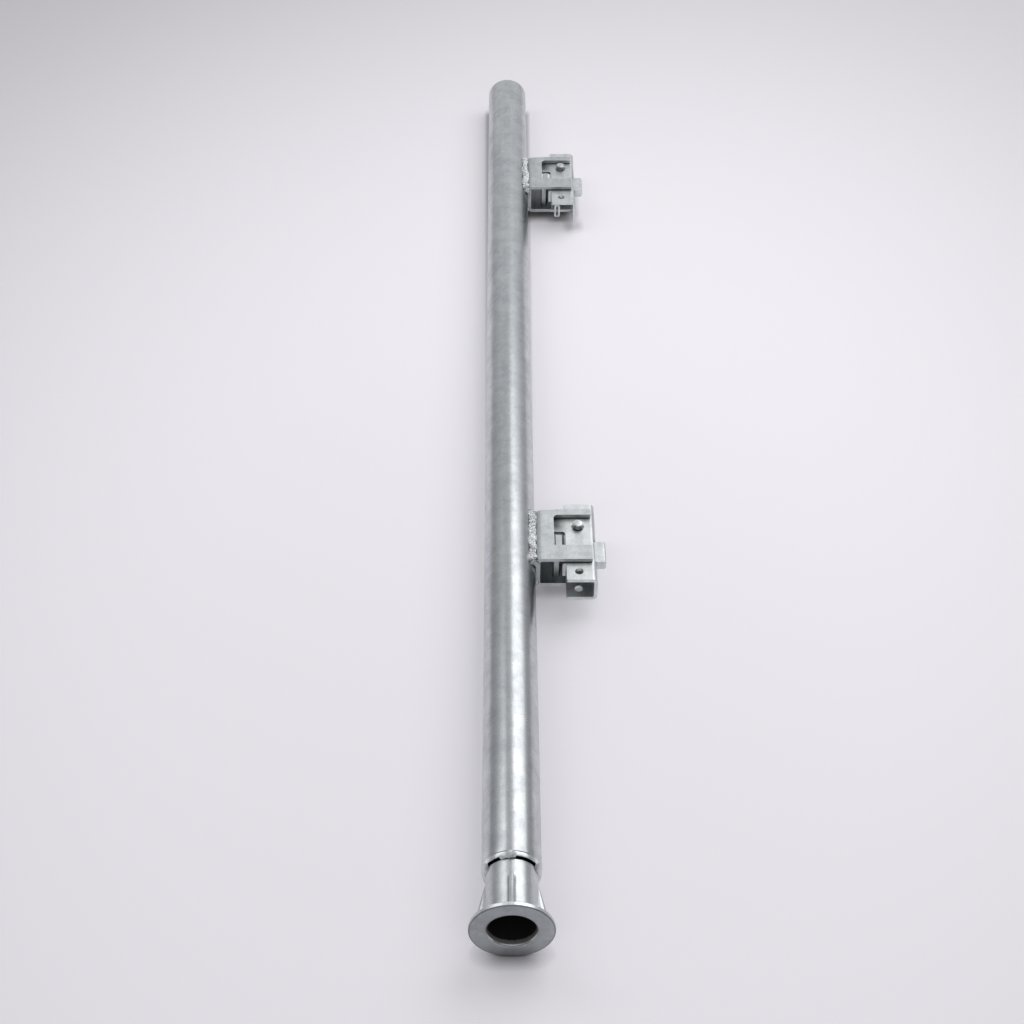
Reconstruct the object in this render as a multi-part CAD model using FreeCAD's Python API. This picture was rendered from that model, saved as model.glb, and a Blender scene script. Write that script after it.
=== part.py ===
"""Edge protection post: a galvanised tube with a flanged socket foot and two barrier brackets.

The post lies along +Y with its foot at the origin. Each bracket is a folded plate, welded to the
tube's +X side, that holds a sliding catch. The catch drops towards the foot under its own weight
when the post stands, and is lifted by a thumb block. Millimetres, +Z up.
"""
import FreeCAD, Part
import math
import os

from FreeCAD import Vector

# Post tube and its flanged foot
TUBE_RADIUS = 48.3 / 2
TUBE_WALL = 2.9
TUBE_LENGTH = 1250.0
TUBE_BEVEL = (2.2, 2.5)
TUBE_RIM = 0.6
NECK_RADIUS = 42.4 / 2
TUBE_START = 56.0
NECK_SHOULDER = 53.0
SPIGOT_RADIUS = 20.3
SPIGOT_LENGTH = 40.0
SOCKET_RADIUS = 38.6 / 2
SOCKET_MOUTH = 1.6
FLANGE_RADIUS = 34.0
FLANGE_THICKNESS = 4.3
FLANGE_EDGE = 0.8
FLANGE_ROOT = 2.0
RIB_WIDTH = 5.2
RIB_HEIGHT = 9.0
RIB_END = 41.0
RIB_EDGE = 1.2
RIB_COUNT = 4

# Weld round the neck: a long bead under the post and a tack on top, in degrees from the top
FOOT_WELD_START = 48.5
FOOT_WELD_ARCS = ((60.0, 240.0), (-21.0, 24.0))

# Bracket plate, folded to a channel that opens away from the tube
BRACKETS = (("lower", 397.0), ("upper", 1050.5))
PLATE = 4.0
PLATE_BEND = 1.5
BRACKET_LENGTH = 70.0
BRACKET_HALF_HEIGHT = 18.0
BRACKET_LEFT = TUBE_RADIUS + 0.25
BRACKET_RIGHT = 78.0
BRACKET_CORNER = 2.0
FAR_EDGE_SLANT = 2.4
FAR_EDGE_STRAIGHT_FROM = 53.0
WINDOW_LEFT = 42.0
WINDOW_NEAR = 19.5
WINDOW_FAR = 61.4
WINDOW_CORNER = 4.0
BRACKET_WELD_TUBE_ANGLE = 43.0
BRACKET_WELD_BEND_ANGLE = 150.0
BRACKET_WELD_CROWN = 1.6
BRACKET_WELD_INSET = 1.0

# Joggled guide bar that stands between the bracket's plates
BAR_WIDTH = 6.0
BAR_NEAR = 10.0
BAR_FAR = 37.5
BAR_NEAR_LEFT = 41.0
BAR_FAR_LEFT = 43.3
BAR_JOGGLE = (15.0, 21.0)
BAR_EDGE = 1.0

# Sliding catch, folded from thinner sheet
SHEET = 3.5
SHEET_BEND = 1.5
SLIDE_HALF_HEIGHT = 13.0
SLIDE_LEFT = 52.6
SLIDE_RIGHT = 81.6
SLIDE_NEAR = {"lower": -23.0, "upper": -28.0}
SLIDE_FAR = {"lower": 81.7, "upper": 85.0}
SLIDE_CORNER = 1.0
SLIDE_TRAVEL = 6.5
EAR_LEFT = 31.0
EAR_NEAR = 43.0
EAR_FAR = 65.0
EAR_CORNER = 3.5
LIP_NEAR = -2.5
LIP_FAR = 6.0
LIP_BOTTOM = -2.0
SLIDE_HOLE_RADIUS = 3.8
SLIDE_HOLE_X = 64.5
SLIDE_HOLES = {"lower": (-11.5, 71.3), "upper": (-15.7, 71.3)}

# Near end of the upper catch: a deep leg with no floor, and a slotted tab before the lower flange
TAIL_LENGTH = 20.0
TAIL_BOTTOM = -19.4
TAIL_EDGE = 1.2
TAB_LEFT = 56.4
TAB_WIDTH = 7.2
TAB_BOTTOM = -17.8
TAB_TOP = -1.0
TAB_CORNER = 2.2
TAB_SLOT = 2.0
TAB_RIM = 2.0

# Stop pin through the catch, its washer and the slot that it runs in
PIN_X = 65.0
PIN_Y = 49.3
PIN_RADIUS = 4.85
PIN_TOP = 18.5
PIN_CLEARANCE = 1.0
PIN_TIP = 0.7
WASHER_RADIUS = 9.0
WASHER = 2.0
WASHER_GAP = 0.4
PIN_HEAD_RADIUS = 6.6
PIN_HEAD = 1.8
SLOT_CLEARANCE = 0.5

# Thumb block on the outside of the catch
THUMB_NEAR = 2.2
THUMB_LENGTH = 27.9
THUMB_WIDTH = 9.0
THUMB_BOTTOM = 2.1
THUMB_TOP = 11.7
THUMB_EDGE = 2.2
THUMB_RELIEF = 1.3

AXIS = Vector(0, 1, 0)
ORIGIN = Vector(0, 0, 0)


def rounded_edges(points, radius):
    """Edges of an open path through the points, with its inner corners rounded."""
    edges = []
    start = points[0]
    for corner, after in zip(points[1:-1], points[2:]):
        back = (start - corner).normalize()
        ahead = (after - corner).normalize()
        half = back.getAngle(ahead) / 2
        reach = radius / math.tan(half)
        first = corner + back * reach
        last = corner + ahead * reach
        middle = corner + (back + ahead).normalize() * (radius / math.sin(half) - radius)
        edges.append(Part.LineSegment(start, first).toShape())
        edges.append(Part.Arc(first, middle, last).toShape())
        start = last
    edges.append(Part.LineSegment(start, points[-1]).toShape())
    return edges


def inward(points, distance):
    """Path moved to its left by a distance, seen with X to the right and Z up."""
    sides = []
    for start, end in zip(points, points[1:]):
        along = (end - start).normalize()
        sides.append(Vector(-along.z, 0, along.x))
    moved = [points[0] + sides[0] * distance]
    for point, before, after in zip(points[1:-1], sides, sides[1:]):
        spread = before + after
        moved.append(point + spread * (distance / (1 + before.dot(after))))
    moved.append(points[-1] + sides[-1] * distance)
    return moved


def folded_sheet(outline, thickness, bend, near, far):
    """Sheet folded along (x, z) points that turn left, from one Y to another."""
    outer = [Vector(x, near, z) for x, z in outline]
    inner = inward(outer, thickness)
    edges = rounded_edges(outer, bend + thickness)
    edges.append(Part.LineSegment(outer[-1], inner[-1]).toShape())
    edges += rounded_edges(list(reversed(inner)), bend)
    edges.append(Part.LineSegment(inner[0], outer[0]).toShape())
    return Part.Face(Part.Wire(edges)).extrude(AXIS * (far - near))


def plan_prism(points, low, high):
    """Upright prism on (x, y) points."""
    corners = [Vector(x, y, low) for x, y in points]
    return Part.Face(Part.makePolygon(corners + corners[:1])).extrude(Vector(0, 0, high - low))


def box(left, near, low, right, far, high):
    """Box between two corners."""
    return Part.makeBox(right - left, far - near, high - low, Vector(left, near, low))


def upright_edges(shape, test):
    """Edges parallel to Z whose (x, y) passes the test."""
    found = []
    for edge in shape.Edges:
        size = edge.BoundBox
        if size.ZLength > 1 and size.XLength < 0.01 and size.YLength < 0.01 and test(size.XMin, size.YMin):
            found.append(edge)
    return found


def turned(points, sweep=360.0, start=0.0):
    """Solid of revolution about the post's axis from (radius, y) points, turned from the top towards +X."""
    corners = [Vector(0, y, radius) for radius, y in points]
    face = Part.Face(Part.makePolygon(corners + corners[:1]))
    face.rotate(ORIGIN, AXIS, start)
    return face.revolve(ORIGIN, AXIS, sweep)


def upright_cylinder(x, y, radius, low, high):
    """Cylinder along Z."""
    return Part.makeCylinder(radius, high - low, Vector(x, y, low))


def make_tube():
    """Tube with a bevel at its welded end and a broken rim at the other."""
    outer = TUBE_RADIUS
    inner = TUBE_RADIUS - TUBE_WALL
    start = TUBE_START
    end = TUBE_START + TUBE_LENGTH
    depth, run = TUBE_BEVEL
    return turned([
        (inner, start), (outer - depth, start), (outer, start + run),
        (outer, end - TUBE_RIM), (outer - TUBE_RIM, end), (inner, end),
    ])


def make_rib():
    """Tapered rib on top of the neck, from the flange's back to nothing."""
    sunk = (NECK_RADIUS + SOCKET_RADIUS) / 2
    back = FLANGE_THICKNESS - 1.0
    side = [
        Vector(-RIB_WIDTH / 2, back, sunk), Vector(-RIB_WIDTH / 2, back, NECK_RADIUS + RIB_HEIGHT),
        Vector(-RIB_WIDTH / 2, RIB_END, NECK_RADIUS + 0.4), Vector(-RIB_WIDTH / 2, RIB_END, sunk),
    ]
    rib = Part.Face(Part.makePolygon(side + side[:1])).extrude(Vector(RIB_WIDTH, 0, 0))
    slopes = [e for e in rib.Edges if e.BoundBox.ZLength > 1 and e.BoundBox.YLength > RIB_END / 2]
    return rib.makeFillet(RIB_EDGE, slopes)


def make_foot():
    """Cast foot: flange, ribbed neck and a spigot inside the tube, with a socket right through."""
    edge = FLANGE_EDGE
    back = FLANGE_THICKNESS
    inside = TUBE_START + SPIGOT_LENGTH
    body = turned([
        (SOCKET_RADIUS, SOCKET_MOUTH), (SOCKET_RADIUS + SOCKET_MOUTH, 0),
        (FLANGE_RADIUS - edge, 0), (FLANGE_RADIUS, edge), (FLANGE_RADIUS, back),
        (NECK_RADIUS + FLANGE_ROOT, back), (NECK_RADIUS, back + FLANGE_ROOT), (NECK_RADIUS, NECK_SHOULDER),
        (SPIGOT_RADIUS, NECK_SHOULDER), (SPIGOT_RADIUS, inside), (SOCKET_RADIUS, inside),
    ])
    for index in range(RIB_COUNT):
        rib = make_rib()
        rib.rotate(ORIGIN, AXIS, 360.0 / RIB_COUNT * index)
        body = body.fuse(rib)
    return body.removeSplitter()


def make_foot_weld():
    """Beads that fill the groove between the neck's shoulder and the tube's bevel."""
    depth, run = TUBE_BEVEL
    crown = (NECK_RADIUS + TUBE_RADIUS) / 2 + 0.4
    section = [
        (NECK_RADIUS, FOOT_WELD_START), (crown, (FOOT_WELD_START + TUBE_START) / 2 + 0.5),
        (TUBE_RADIUS - 0.1 * depth, TUBE_START + 0.9 * run), (TUBE_RADIUS - depth, TUBE_START),
        (NECK_RADIUS, NECK_SHOULDER),
    ]
    return Part.makeCompound([turned(section, sweep, start) for start, sweep in FOOT_WELD_ARCS])


def pin_slot(base):
    """Slot in the bracket's lower plate along the pin's travel."""
    radius = PIN_RADIUS + SLOT_CLEARANCE
    near = base + PIN_Y
    far = near + SLIDE_TRAVEL
    low = -BRACKET_HALF_HEIGHT - 1
    high = PLATE - BRACKET_HALF_HEIGHT + 1
    slot = box(PIN_X - radius, near, low, PIN_X + radius, far, high)
    for y in (near, far):
        slot = slot.fuse(upright_cylinder(PIN_X, y, radius, low, high))
    return slot


def make_bracket(base):
    """Channel-shaped bracket with a stepped window in its upper plate, open on the right."""
    half = BRACKET_HALF_HEIGHT
    far = base + BRACKET_LENGTH
    outline = [(BRACKET_RIGHT, half), (BRACKET_LEFT, half), (BRACKET_LEFT, -half), (BRACKET_RIGHT, -half)]
    body = folded_sheet(outline, PLATE, PLATE_BEND, base, far)
    window = box(WINDOW_LEFT, base + WINDOW_NEAR, 0, BRACKET_RIGHT + 1, base + WINDOW_FAR, half + 1)
    inside = upright_edges(window, lambda x, y: x < WINDOW_LEFT + 1 and y > base + WINDOW_FAR - 1)
    body = body.cut(window.makeFillet(WINDOW_CORNER, inside))
    slant = plan_prism([
        (BRACKET_LEFT - 1, far - FAR_EDGE_SLANT), (FAR_EDGE_STRAIGHT_FROM, far), (BRACKET_LEFT - 1, far + 1),
    ], -half - 1, half + 1)
    body = body.cut(slant).cut(pin_slot(base))
    outer = upright_edges(body, lambda x, y: x > BRACKET_RIGHT - 0.1)
    return body.makeFillet(BRACKET_CORNER, outer)


def make_bracket_weld(base):
    """Bead above and bead below, between the tube and the bracket's rounded folds."""
    bend = PLATE + PLATE_BEND
    bend_x = BRACKET_LEFT + bend
    bend_z = BRACKET_HALF_HEIGHT - bend
    tube_angle = math.radians(BRACKET_WELD_TUBE_ANGLE)
    bend_angle = math.radians(BRACKET_WELD_BEND_ANGLE)
    near = base + BRACKET_WELD_INSET
    far = base + BRACKET_LENGTH - FAR_EDGE_SLANT - BRACKET_WELD_INSET
    on_tube = Vector(TUBE_RADIUS * math.cos(tube_angle), near, TUBE_RADIUS * math.sin(tube_angle))
    on_bend = Vector(bend_x + bend * math.cos(bend_angle), near, bend_z + bend * math.sin(bend_angle))
    crown = (on_tube + on_bend) * 0.5 + Vector(0, 0, BRACKET_WELD_CROWN)
    root = Vector(BRACKET_LEFT, near, bend_z / 2)
    section = Part.Wire([
        Part.Arc(on_tube, crown, on_bend).toShape(),
        Part.LineSegment(on_bend, Vector(bend_x, near, bend_z)).toShape(),
        Part.LineSegment(Vector(bend_x, near, bend_z), root).toShape(),
        Part.LineSegment(root, Vector(0, near, 0)).toShape(),
        Part.LineSegment(Vector(0, near, 0), on_tube).toShape(),
    ])
    upper = Part.Face(section).extrude(AXIS * (far - near))
    post = Part.makeCylinder(TUBE_RADIUS, far - near + 2, Vector(0, near - 1, 0), AXIS)
    fold = Part.makeCylinder(bend, far - near + 2, Vector(bend_x, near - 1, bend_z), AXIS)
    web = box(BRACKET_LEFT, near - 1, -bend_z, bend_x, far + 1, bend_z)
    upper = upper.cut(post).cut(fold).cut(web)
    lower = upper.mirror(ORIGIN, Vector(0, 0, 1))
    return Part.makeCompound([upper, lower])


def make_guide_bar(base):
    """Joggled bar that stands between the two plates and steps over beside the catch."""
    half = BRACKET_HALF_HEIGHT - PLATE
    step_from, step_to = BAR_JOGGLE
    left = [
        (BAR_NEAR_LEFT, BAR_NEAR), (BAR_NEAR_LEFT, step_from),
        (BAR_FAR_LEFT, step_to), (BAR_FAR_LEFT, BAR_FAR),
    ]
    right = [(x + BAR_WIDTH, y) for x, y in reversed(left)]
    body = plan_prism([(x, base + y) for x, y in left + right], -half, half)
    ends = upright_edges(body, lambda x, y: min(abs(y - base - BAR_NEAR), abs(y - base - BAR_FAR)) < 0.01)
    return body.makeFillet(BAR_EDGE, ends)


def catch_section():
    """Outline of the catch's channel, open towards the tube."""
    half = SLIDE_HALF_HEIGHT
    return [(SLIDE_LEFT, -half), (SLIDE_RIGHT, -half), (SLIDE_RIGHT, half), (SLIDE_LEFT, half)]


def make_tail(start, end):
    """Near end of the upper catch: top flange, deep leg and a slotted tab at its far end."""
    half = SLIDE_HALF_HEIGHT
    body = folded_sheet([(SLIDE_RIGHT, TAIL_BOTTOM), (SLIDE_RIGHT, half), (SLIDE_LEFT, half)],
                        SHEET, SHEET_BEND, start, end)
    foot = [e for e in body.Edges if e.BoundBox.ZMax < TAIL_BOTTOM + 0.01 and e.BoundBox.YLength > 1]
    body = body.makeFillet(TAIL_EDGE, foot)
    right = TAB_LEFT + TAB_WIDTH
    tab = box(TAB_LEFT, end - SHEET, TAB_BOTTOM, right, end, TAB_TOP)
    corners = [e for e in tab.Edges if e.BoundBox.YLength > 1]
    tab = tab.makeFillet(TAB_CORNER, corners)
    middle = TAB_LEFT + TAB_WIDTH / 2
    slot = box(middle - TAB_SLOT / 2, end - SHEET - 1, TAB_BOTTOM + TAB_RIM,
               middle + TAB_SLOT / 2, end + 1, TAB_TOP - TAB_RIM)
    return body, tab.cut(slot)


def make_slide(name, base):
    """Sliding catch: a channel with an ear under the window, a guide lip and through holes."""
    half = SLIDE_HALF_HEIGHT
    under = half - SHEET
    start = base + SLIDE_NEAR[name]
    end = base + SLIDE_FAR[name]
    tail_end = start
    if name == "upper":
        tail_end = start + TAIL_LENGTH
    body = folded_sheet(catch_section(), SHEET, SHEET_BEND, tail_end, end)
    if name == "upper":
        tail, tab = make_tail(start, tail_end)
        body = body.fuse(tail).fuse(tab)
    ear = box(EAR_LEFT, base + EAR_NEAR, under, SLIDE_LEFT + 1, base + EAR_FAR, half)
    ear_corners = upright_edges(ear, lambda x, y: x < EAR_LEFT + 1)
    body = body.fuse(ear.makeFillet(EAR_CORNER, ear_corners)).removeSplitter()
    at_ear = (base + EAR_NEAR - 1, base + EAR_FAR + 1)
    roots = upright_edges(body, lambda x, y: abs(x - SLIDE_LEFT) < 0.01 and at_ear[0] < y < at_ear[1])
    body = body.makeFillet(EAR_CORNER, roots)
    lip = box(SLIDE_LEFT - SHEET, base + LIP_NEAR, LIP_BOTTOM, SLIDE_LEFT, base + LIP_FAR, half)
    lip_fold = []
    for edge in lip.Edges:
        size = edge.BoundBox
        if size.YLength > 1 and size.XMax < SLIDE_LEFT and size.ZMin > 0:
            lip_fold.append(edge)
    body = body.fuse(lip.makeFillet(SHEET_BEND, lip_fold))
    for y in SLIDE_HOLES[name]:
        body = body.cut(upright_cylinder(SLIDE_HOLE_X, base + y, SLIDE_HOLE_RADIUS, -half - 1, half + 1))
    body = body.cut(upright_cylinder(PIN_X, base + PIN_Y, PIN_RADIUS, -half - 1, 0))
    body = body.cut(upright_cylinder(PIN_X, base + PIN_Y, PIN_RADIUS + PIN_CLEARANCE, 0, half + 1))
    relief = base + THUMB_NEAR + THUMB_LENGTH + THUMB_RELIEF / 2
    relief_x = SLIDE_RIGHT - THUMB_RELIEF
    body = body.cut(upright_cylinder(relief_x, relief, THUMB_RELIEF, THUMB_BOTTOM, half + 1)).removeSplitter()
    at_end = (start + 0.1, end - 0.1)
    corners = upright_edges(body, lambda x, y: abs(x - SLIDE_LEFT) < 0.01 and not at_end[0] < y < at_end[1])
    return body.makeFillet(SLIDE_CORNER, corners)


def make_stop_pin(base):
    """Pin that is tight in the catch's lower flange, with a head below the washer."""
    y = base + PIN_Y
    head_top = -BRACKET_HALF_HEIGHT - WASHER_GAP - WASHER
    shank = upright_cylinder(PIN_X, y, PIN_RADIUS, head_top, PIN_TOP)
    tip = [e for e in shank.Edges if e.BoundBox.ZMin > PIN_TOP - 0.01]
    shank = shank.makeChamfer(PIN_TIP, tip)
    head = upright_cylinder(PIN_X, y, PIN_HEAD_RADIUS, head_top - PIN_HEAD, head_top)
    return shank.fuse(head).removeSplitter()


def make_pin_washer(base):
    """Washer on the pin, just under the bracket's lower plate."""
    y = base + PIN_Y
    top = -BRACKET_HALF_HEIGHT - WASHER_GAP
    ring = upright_cylinder(PIN_X, y, WASHER_RADIUS, top - WASHER, top)
    return ring.cut(upright_cylinder(PIN_X, y, PIN_RADIUS, top - WASHER - 1, top + 1))


def make_thumb_block(base):
    """Block on the outside of the catch, fitted to its bend and rounded where the thumb meets it."""
    near = base + THUMB_NEAR
    far = near + THUMB_LENGTH
    right = SLIDE_RIGHT + THUMB_WIDTH
    bend = SHEET + SHEET_BEND
    bend_x = SLIDE_RIGHT - bend
    bend_z = SLIDE_HALF_HEIGHT - bend
    block = box(bend_x, near, THUMB_BOTTOM, right, far, THUMB_TOP)
    outer = [e for e in block.Edges if e.BoundBox.XMin > right - 0.01]
    fold = Part.makeCylinder(bend, THUMB_LENGTH + 2, Vector(bend_x, near - 1, bend_z), AXIS)
    wall = box(bend_x, near - 1, THUMB_BOTTOM - 1, SLIDE_RIGHT, far + 1, bend_z)
    return block.makeFillet(THUMB_EDGE, outer).cut(fold).cut(wall)


def main():
    nodes = {"post_tube": make_tube(), "foot_socket": make_foot(), "foot_weld": make_foot_weld()}
    for name, base in BRACKETS:
        nodes[name + "_bracket"] = make_bracket(base)
        nodes[name + "_bracket_weld"] = make_bracket_weld(base)
        nodes[name + "_guide_bar"] = make_guide_bar(base)
        nodes[name + "_slide"] = make_slide(name, base)
        nodes[name + "_stop_pin"] = make_stop_pin(base)
        nodes[name + "_pin_washer"] = make_pin_washer(base)
        nodes[name + "_thumb_block"] = make_thumb_block(base)
    os.makedirs("parts", exist_ok=True)
    for name, shape in nodes.items():
        shape.exportStep("parts/" + name + ".step")
        print(name, shape.isValid(), len(shape.Solids), round(shape.Volume))


main()
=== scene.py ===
"""Looks of a galvanised edge protection post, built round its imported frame.

The tube, the foot, the welds, the pins and the washers are surfaces on numpy grids. The folded
pieces keep their CAD shape, with eased edges. Metres, +Y along the post, +Z up.
"""
import math

import bmesh
import bpy
import numpy as np
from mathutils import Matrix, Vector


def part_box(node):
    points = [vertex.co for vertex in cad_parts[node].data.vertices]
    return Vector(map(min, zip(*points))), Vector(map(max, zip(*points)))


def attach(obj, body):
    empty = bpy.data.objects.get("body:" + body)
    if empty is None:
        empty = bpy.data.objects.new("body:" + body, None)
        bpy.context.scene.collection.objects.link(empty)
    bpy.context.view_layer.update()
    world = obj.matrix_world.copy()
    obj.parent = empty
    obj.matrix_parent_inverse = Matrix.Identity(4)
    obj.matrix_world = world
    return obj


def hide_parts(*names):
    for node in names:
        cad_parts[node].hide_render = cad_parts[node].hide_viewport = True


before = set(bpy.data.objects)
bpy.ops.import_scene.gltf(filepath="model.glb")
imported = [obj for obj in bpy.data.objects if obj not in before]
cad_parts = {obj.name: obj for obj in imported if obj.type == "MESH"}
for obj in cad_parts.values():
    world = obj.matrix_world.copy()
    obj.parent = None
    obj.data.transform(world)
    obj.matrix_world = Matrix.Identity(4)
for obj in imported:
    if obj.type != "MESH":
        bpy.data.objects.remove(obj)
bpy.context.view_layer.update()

bl_info = {
    "name": "Edge Protection Post",
    "version": (1, 0, 0),
    "blender": (4, 5, 0),
    "location": "View3D > Sidebar > Post",
    "description": "Galvanised post with a socket foot and two barrier brackets",
    "category": "Object",
}

MM = 0.001
STATIONS = ("lower", "upper")
# How far surfaces turn where they split, where flat faces merge and where edges are eased
SHARP_ANGLE = math.radians(38)
FLAT_ANGLE = math.radians(0.5)
EASED_TURNS = (math.radians(40), math.radians(120))
MERGE_GAP = 0.002 * MM
# Length of the upper catch's deep leg, and where the catches' outer bends begin in x
LEG_LENGTH = 20 * MM
CATCH_BEND = 77 * MM
# Tube's welded end: how much nearer the foot it is than the solid's, its band, which takes a painted
# highlight, and its groove
TUBE_END_SHIFT = 1.3 * MM
TUBE_BAND = 2.3 * MM
TUBE_GROOVE = 0.6 * MM
NECK_END = 53 * MM
# Stands for no limit in the masks near the foot
NO_LIMIT = 1.0
FOOT_WELD_SEED = 5
BRACKET_WELD_SEED = 11


def span(node):
    """Lowest and highest corner of a CAD node, as arrays."""
    low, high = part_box(node)
    return np.array(low), np.array(high)


# Shapes


def rounded_path(corners, steps=6):
    """Path through (a, b, radius) corners, each with a radius turned into a tangent arc.

    The arc's points are centre + radius * (sin((1 - t) w) u + sin(t w) v) / sin(w), where u and v
    point from the arc's centre to its two ends and w is the angle between them.
    """
    flat = np.array([corner[:2] for corner in corners], float)
    radii = np.array([corner[2] for corner in corners], float)
    parts = []
    for index, (point, radius) in enumerate(zip(flat, radii)):
        if radius == 0:
            parts.append(point[None])
            continue
        back = flat[index - 1] - point
        ahead = flat[(index + 1) % len(flat)] - point
        back = back / np.linalg.norm(back)
        ahead = ahead / np.linalg.norm(ahead)
        half = np.arccos(np.clip(back @ ahead, -1, 1)) / 2
        middle = (back + ahead) / np.linalg.norm(back + ahead)
        centre = point + middle * radius / np.sin(half)
        first = (point + back * radius / np.tan(half) - centre) / radius
        last = (point + ahead * radius / np.tan(half) - centre) / radius
        turn = np.arccos(np.clip(first @ last, -1, 1))
        t = np.linspace(0, 1, steps)[:, None]
        arc = (np.sin((1 - t) * turn) * first + np.sin(t * turn) * last) / np.sin(turn)
        parts.append(centre + radius * arc)
    return np.concatenate(parts)


def filled_path(path, step):
    """Path with points added so that none are further apart than the step."""
    gaps = np.linalg.norm(np.diff(path, axis=0), axis=1)
    along = np.concatenate([[0], np.cumsum(gaps)])
    counts = np.maximum(np.ceil(gaps / step).astype(int), 1)
    places = [np.linspace(a, b, n, endpoint=False) for a, b, n in zip(along[:-1], along[1:], counts)]
    places = np.concatenate(places + [along[-1:]])
    return np.stack([np.interp(places, along, path[:, axis]) for axis in range(path.shape[1])], axis=1)


def smooth_curve(controls, count):
    """Catmull-Rom curve through the rows of an array.

    Between rows p1 and p2, with neighbours p0 and p3, a point is
    p1 + t/2 (p2 - p0) + t^2/2 (2 p0 - 5 p1 + 4 p2 - p3) + t^3/2 (3 p1 - p0 - 3 p2 + p3).
    """
    rows = np.concatenate([2 * controls[:1] - controls[1:2], controls, 2 * controls[-1:] - controls[-2:-1]])
    place = np.linspace(0, len(controls) - 1, count)
    first = np.minimum(place.astype(int), len(controls) - 2)
    t = (place - first)[:, None]
    p0, p1, p2, p3 = (rows[first + k] for k in range(4))
    return (p1 + t / 2 * (p2 - p0) + t**2 / 2 * (2 * p0 - 5 * p1 + 4 * p2 - p3)
            + t**3 / 2 * (3 * p1 - p0 - 3 * p2 + p3))


def unit(vectors):
    """Vectors scaled to length one along the last axis."""
    return vectors / np.linalg.norm(vectors, axis=-1, keepdims=True)


def round_the_post(radius, y, angles):
    """Points at (radius sin a, y, radius cos a), with angle 0 on top and 90 degrees towards +X."""
    grid_y = np.broadcast_to(y, np.broadcast_shapes(np.shape(radius), np.shape(angles), np.shape(y)))
    return np.stack([radius * np.sin(angles), grid_y, radius * np.cos(angles)], axis=-1)


def round_a_pin(profile, x, y, count):
    """A (radius, z) profile turned about the upright line at (x, y)."""
    angles = np.linspace(0, 2 * np.pi, count, endpoint=False)[None]
    radius = profile[:, :1]
    height = np.broadcast_to(profile[:, 1:], (len(profile), count))
    return np.stack([x + radius * np.cos(angles), y + radius * np.sin(angles), height], axis=-1)


def bead(path, outward, width, height, shape, seed, rough=1.0, columns=48):
    """Weld bead: an ellipse carried along a path, with rounded blobs, finer ripples and uneven lumps.

    A point is path + width cos(f) side + height sin(f) outward. Both half sizes are scaled by
    1 + rough * (depth * (|sin(p)|^0.6 - 0.7) + depth / 3 * sin(6 p) + lumps), with the phase
    p = pi * length / pitch + 1.1 cos(f)^2 + lumps. The lumps are a smooth curve through seeded random
    values, one for each side of the bead; another one makes the path wander sideways.
    """
    ahead = unit(np.gradient(path, axis=0))
    outward = unit(outward - ahead * np.sum(outward * ahead, axis=1, keepdims=True))
    side = np.cross(ahead, outward)
    length = np.concatenate([[0], np.cumsum(np.linalg.norm(np.diff(path, axis=0), axis=1))])
    f = np.linspace(0, 2 * np.pi, columns, endpoint=False)[None]
    chance = np.random.default_rng(seed)
    knots = chance.normal(0, shape.lump_size, (int(length[-1] / shape.ripple_pitch * 1.6) + 4, 4))
    lumps = smooth_curve(knots, len(path))
    uneven = lumps[:, :1] * (1 + np.cos(f)) / 2 + lumps[:, 1:2] * (1 - np.cos(f)) / 2
    phase = np.pi * length[:, None] / shape.ripple_pitch + 1.1 * np.cos(f) ** 2 + 5 * lumps[:, 2:3]
    blobs = shape.ripple_depth * (np.abs(np.sin(phase)) ** 0.6 - 0.7 + np.sin(6 * phase) / 3)
    scale = 1 + rough * (blobs + uneven)
    wander = rough * width[:, None] * lumps[:, 3:]
    wide = (width[:, None] * np.cos(f) * scale + wander)[..., None] * side[:, None]
    tall = (height[:, None] * np.sin(f) * scale)[..., None] * outward[:, None]
    return path[:, None] + wide + tall


def surface_faces(rows, columns, loop_rows):
    """Faces of a grid whose columns close; its rows close too, or end in two poles."""
    index = np.arange(rows * columns).reshape(rows, columns)
    index = np.concatenate([index, index[:, :1]], axis=1)
    if loop_rows:
        index = np.concatenate([index, index[:1]])
    quads = np.stack([index[:-1, :-1], index[1:, :-1], index[1:, 1:], index[:-1, 1:]], axis=-1)
    quads = quads.reshape(-1, 4)
    if loop_rows:
        return quads, np.zeros((0, 3), int)
    first = np.full(columns, rows * columns)
    fans = [np.stack([index[0, 1:], first, index[0, :-1]], axis=-1)]
    fans.append(np.stack([index[-1, :-1], first + 1, index[-1, 1:]], axis=-1))
    return quads, np.concatenate(fans)


def surface_mesh(name, points, loop_rows):
    """Mesh on a (rows, columns, 3) grid of points, turned so that its faces point outwards."""
    rows, columns = points.shape[:2]
    quads, fans = surface_faces(rows, columns, loop_rows)
    places = points.reshape(-1, 3)
    if not loop_rows:
        places = np.concatenate([places, points[0].mean(0)[None], points[-1].mean(0)[None]])
    first, second, third, fourth = (places[quads[:, k]] for k in range(4))
    volume = np.sum(first * np.cross(second, third)) + np.sum(first * np.cross(third, fourth))
    if volume < 0:
        quads = quads[:, ::-1]
        fans = fans[:, ::-1]
    mesh = bpy.data.meshes.new(name)
    mesh.from_pydata(places.tolist(), [], quads.tolist() + fans.tolist())
    mesh.polygons.foreach_set("use_smooth", np.ones(len(mesh.polygons), bool))
    mesh.set_sharp_from_angle(angle=SHARP_ANGLE)
    return mesh


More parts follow.
